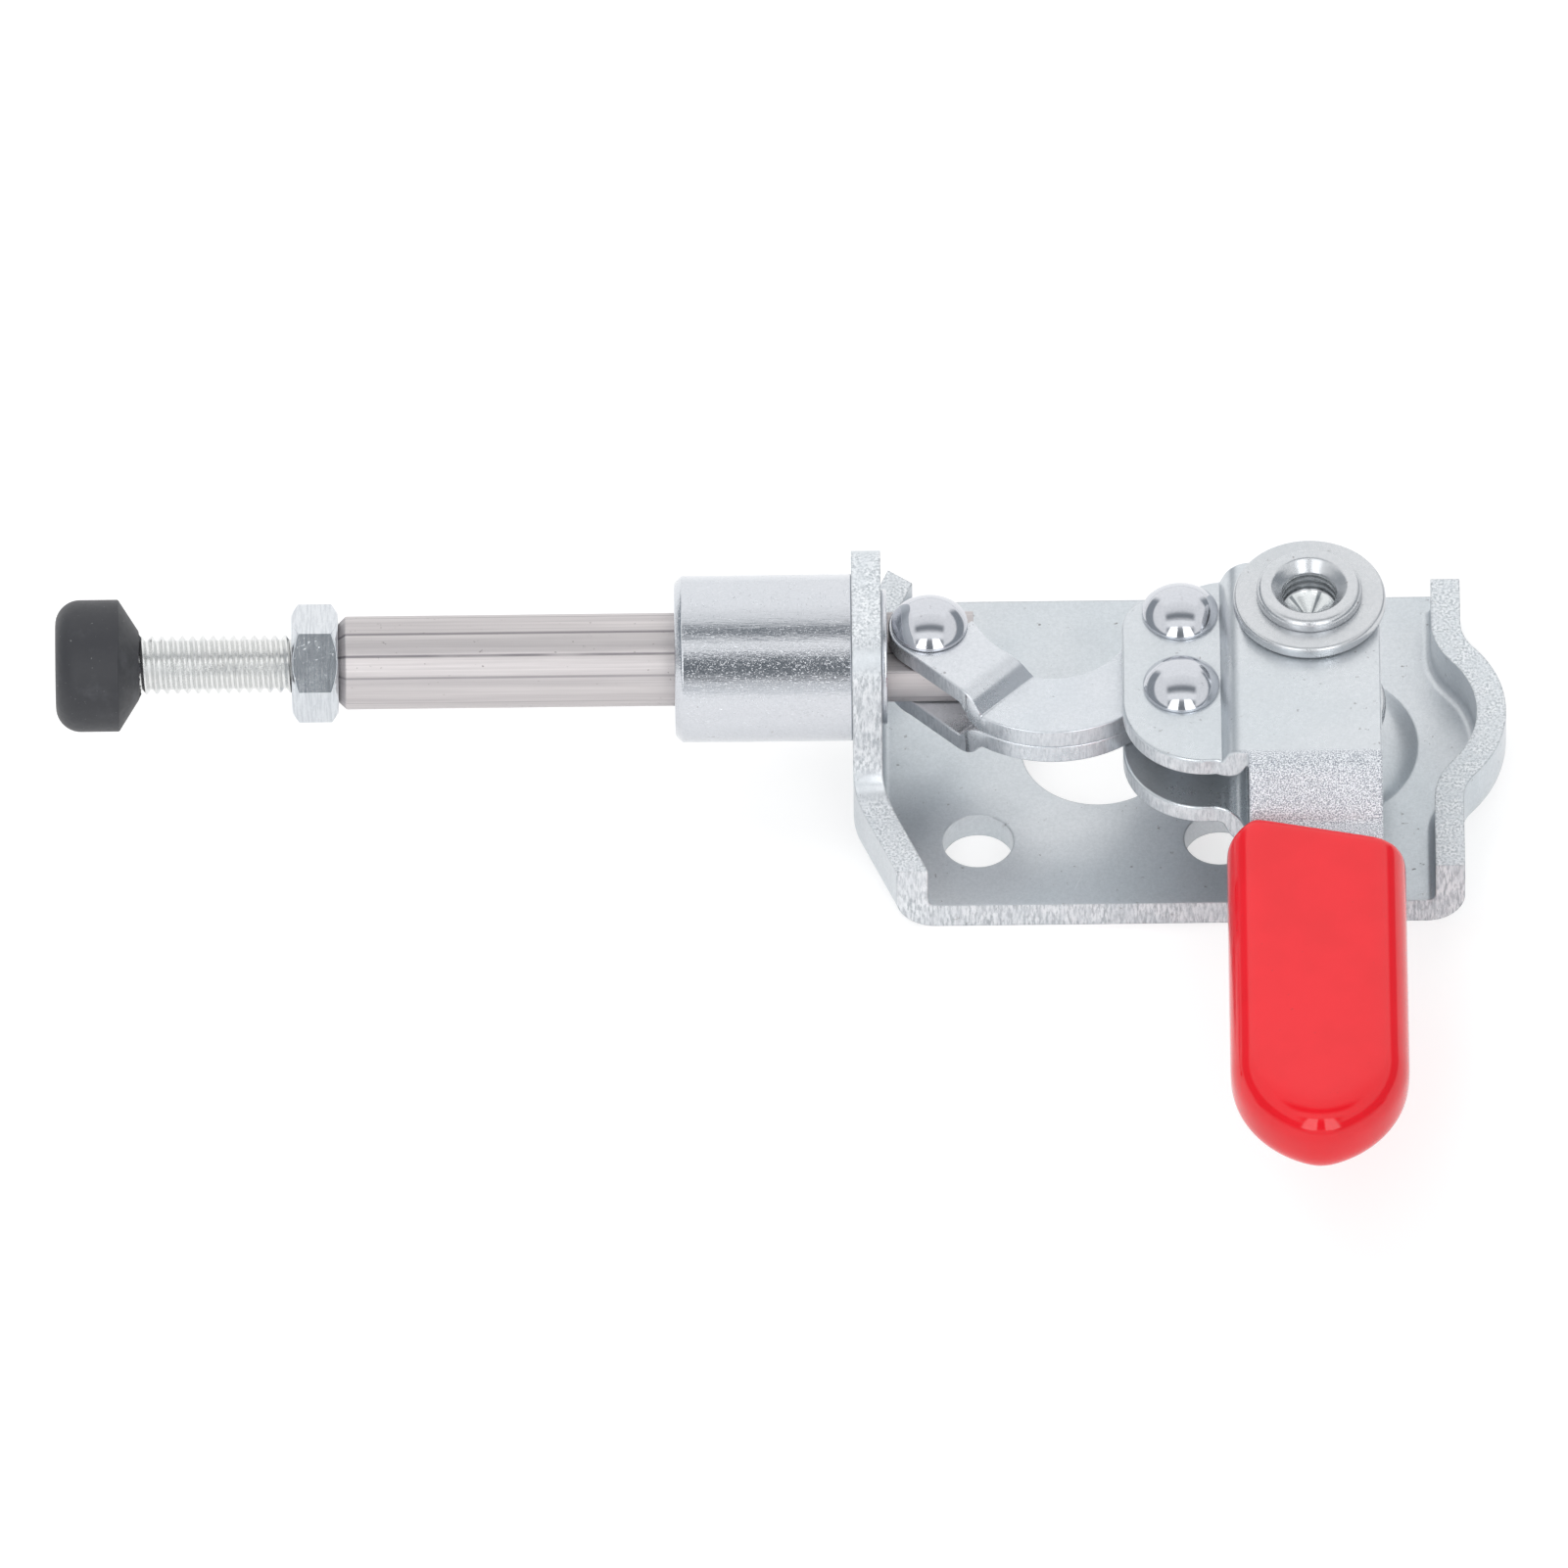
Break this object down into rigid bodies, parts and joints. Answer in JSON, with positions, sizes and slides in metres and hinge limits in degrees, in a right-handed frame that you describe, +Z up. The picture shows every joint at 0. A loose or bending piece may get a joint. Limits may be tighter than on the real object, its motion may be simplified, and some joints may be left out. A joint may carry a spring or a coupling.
{
  "type": "push-pull toggle clamp",
  "caption": "Push-pull toggle clamp: a sheet base carries a sleeve, and a side handle drives a rubber-tipped plunger through bent links.",
  "frame": {"origin": "midway between the two mounting holes, on the underside of the base", "axes": "+Z up from the mounting face, +X from the plunger towards the pivot, +Y away from the mounting edge and the grip"},
  "size_m": [0.0989, 0.0604, 0.0181],
  "materials": {
    "zinc_sheet": "zinc-plated steel sheet",
    "zinc_plate": "zinc-plated steel strip",
    "sleeve_steel": "turned and zinc-plated",
    "turned_steel": "turned and zinc-plated",
    "rivet_steel": "bright zinc-plated",
    "drawn_rod": "cold-drawn rod",
    "plated_thread": "zinc-plated",
    "red_grip": "glossy moulded vinyl",
    "black_rubber": "matt moulded rubber"
  },
  "bodies": {
    "root": {"base_frame": "zinc_sheet", "guide_sleeve": "sleeve_steel", "pivot_stud": "turned_steel", "pivot_washer_lower": "turned_steel", "pivot_washer_top": "turned_steel"},
    "handle": {"handle_upper_plate": "zinc_plate", "handle_lower_plate": "zinc_plate", "handle_grip": "red_grip", "pivot_spacer": "turned_steel", "link_rivet": "rivet_steel", "stop_rivet": "rivet_steel"},
    "link": {"link_upper": "zinc_plate", "link_lower": "zinc_plate"},
    "plunger": {"plunger_rod": "drawn_rod", "lock_nut": "plated_thread", "plunger_rivet": "rivet_steel"},
    "spindle": {"spindle_screw": "plated_thread", "rubber_tip": "black_rubber"}
  },
  "joints": [
    {"name": "handle", "type": "hinge", "parent": "root", "child": "handle", "pos_m": [0.0145, 0.0085, 0.0114], "axis": [0, 0, 1], "range_deg": [0, 135]},
    {"name": "link", "type": "hinge", "parent": "handle", "child": "link", "pos_m": [0.0057, 0.0094, 0.0114], "axis": [0, 0, 1], "range_deg": [-162, 0]},
    {"name": "plunger", "type": "slide", "parent": "root", "child": "plunger", "axis": [1, 0, 0], "range_m": [0, 0.0158]},
    {"name": "spindle", "type": "slide", "parent": "plunger", "child": "spindle", "axis": [1, 0, 0], "range_m": [-0.008, 0.008]}
  ],
  "couplings": [
    {"joint": "link", "follows": "handle", "ratio": -1.1972},
    {"joint": "plunger", "follows": "handle", "m_per_rad": 0.0067041}
  ]
}
